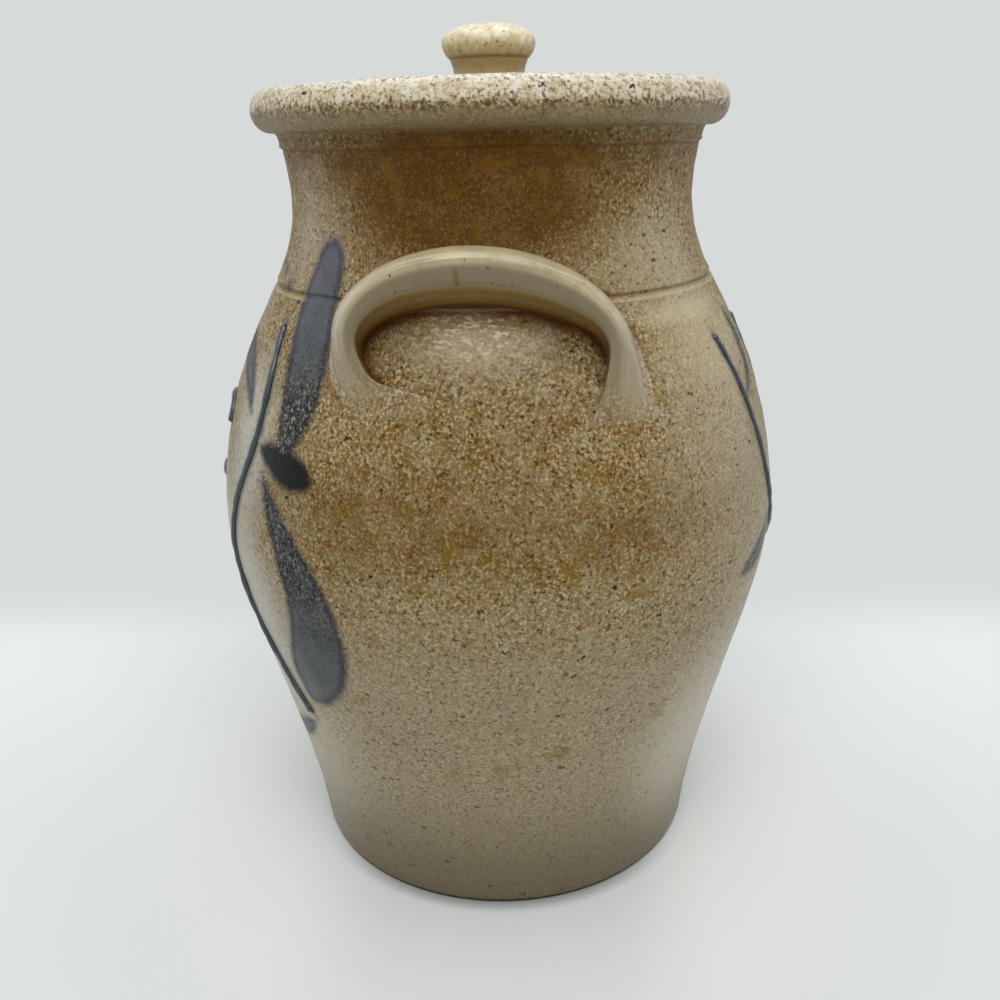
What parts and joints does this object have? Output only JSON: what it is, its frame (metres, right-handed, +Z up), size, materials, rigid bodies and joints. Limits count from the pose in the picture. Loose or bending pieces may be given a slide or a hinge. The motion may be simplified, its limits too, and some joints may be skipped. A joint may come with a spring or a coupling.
{
  "type": "rumtopf pot",
  "caption": "Lidded stoneware crock for fruit kept in spirit, with a bulging body, rolled rim, arched lug handles and an inset lid with a knob.",
  "frame": {"origin": "middle of the flat base, on the surface that the pot stands on", "axes": "+Z up along the pot's axis, the decorated front faces -Y, the lugs stand at +X and -X"},
  "size_m": [0.2, 0.2026, 0.2922],
  "materials": {
    "salt_glazed_stoneware": "salt glaze with an orange-peel skin, iron specks and brown flashing",
    "smooth_stoneware": "smooth satin glaze over wiped clay",
    "cobalt_slip": "cobalt slip under the glaze"
  },
  "bodies": {
    "jar": {"jar_body": "salt_glazed_stoneware", "handle_right": "smooth_stoneware", "handle_left": "smooth_stoneware", "front_trails": "cobalt_slip", "front_beads": "cobalt_slip", "back_trails": "cobalt_slip"},
    "lid": {"lid_plate": "salt_glazed_stoneware", "lid_knob": "smooth_stoneware"}
  },
  "joints": [
    {"name": "lid_lift", "type": "slide", "parent": "jar", "child": "lid", "axis": [0, 0, 1], "range_m": [0, 0.12]}
  ]
}
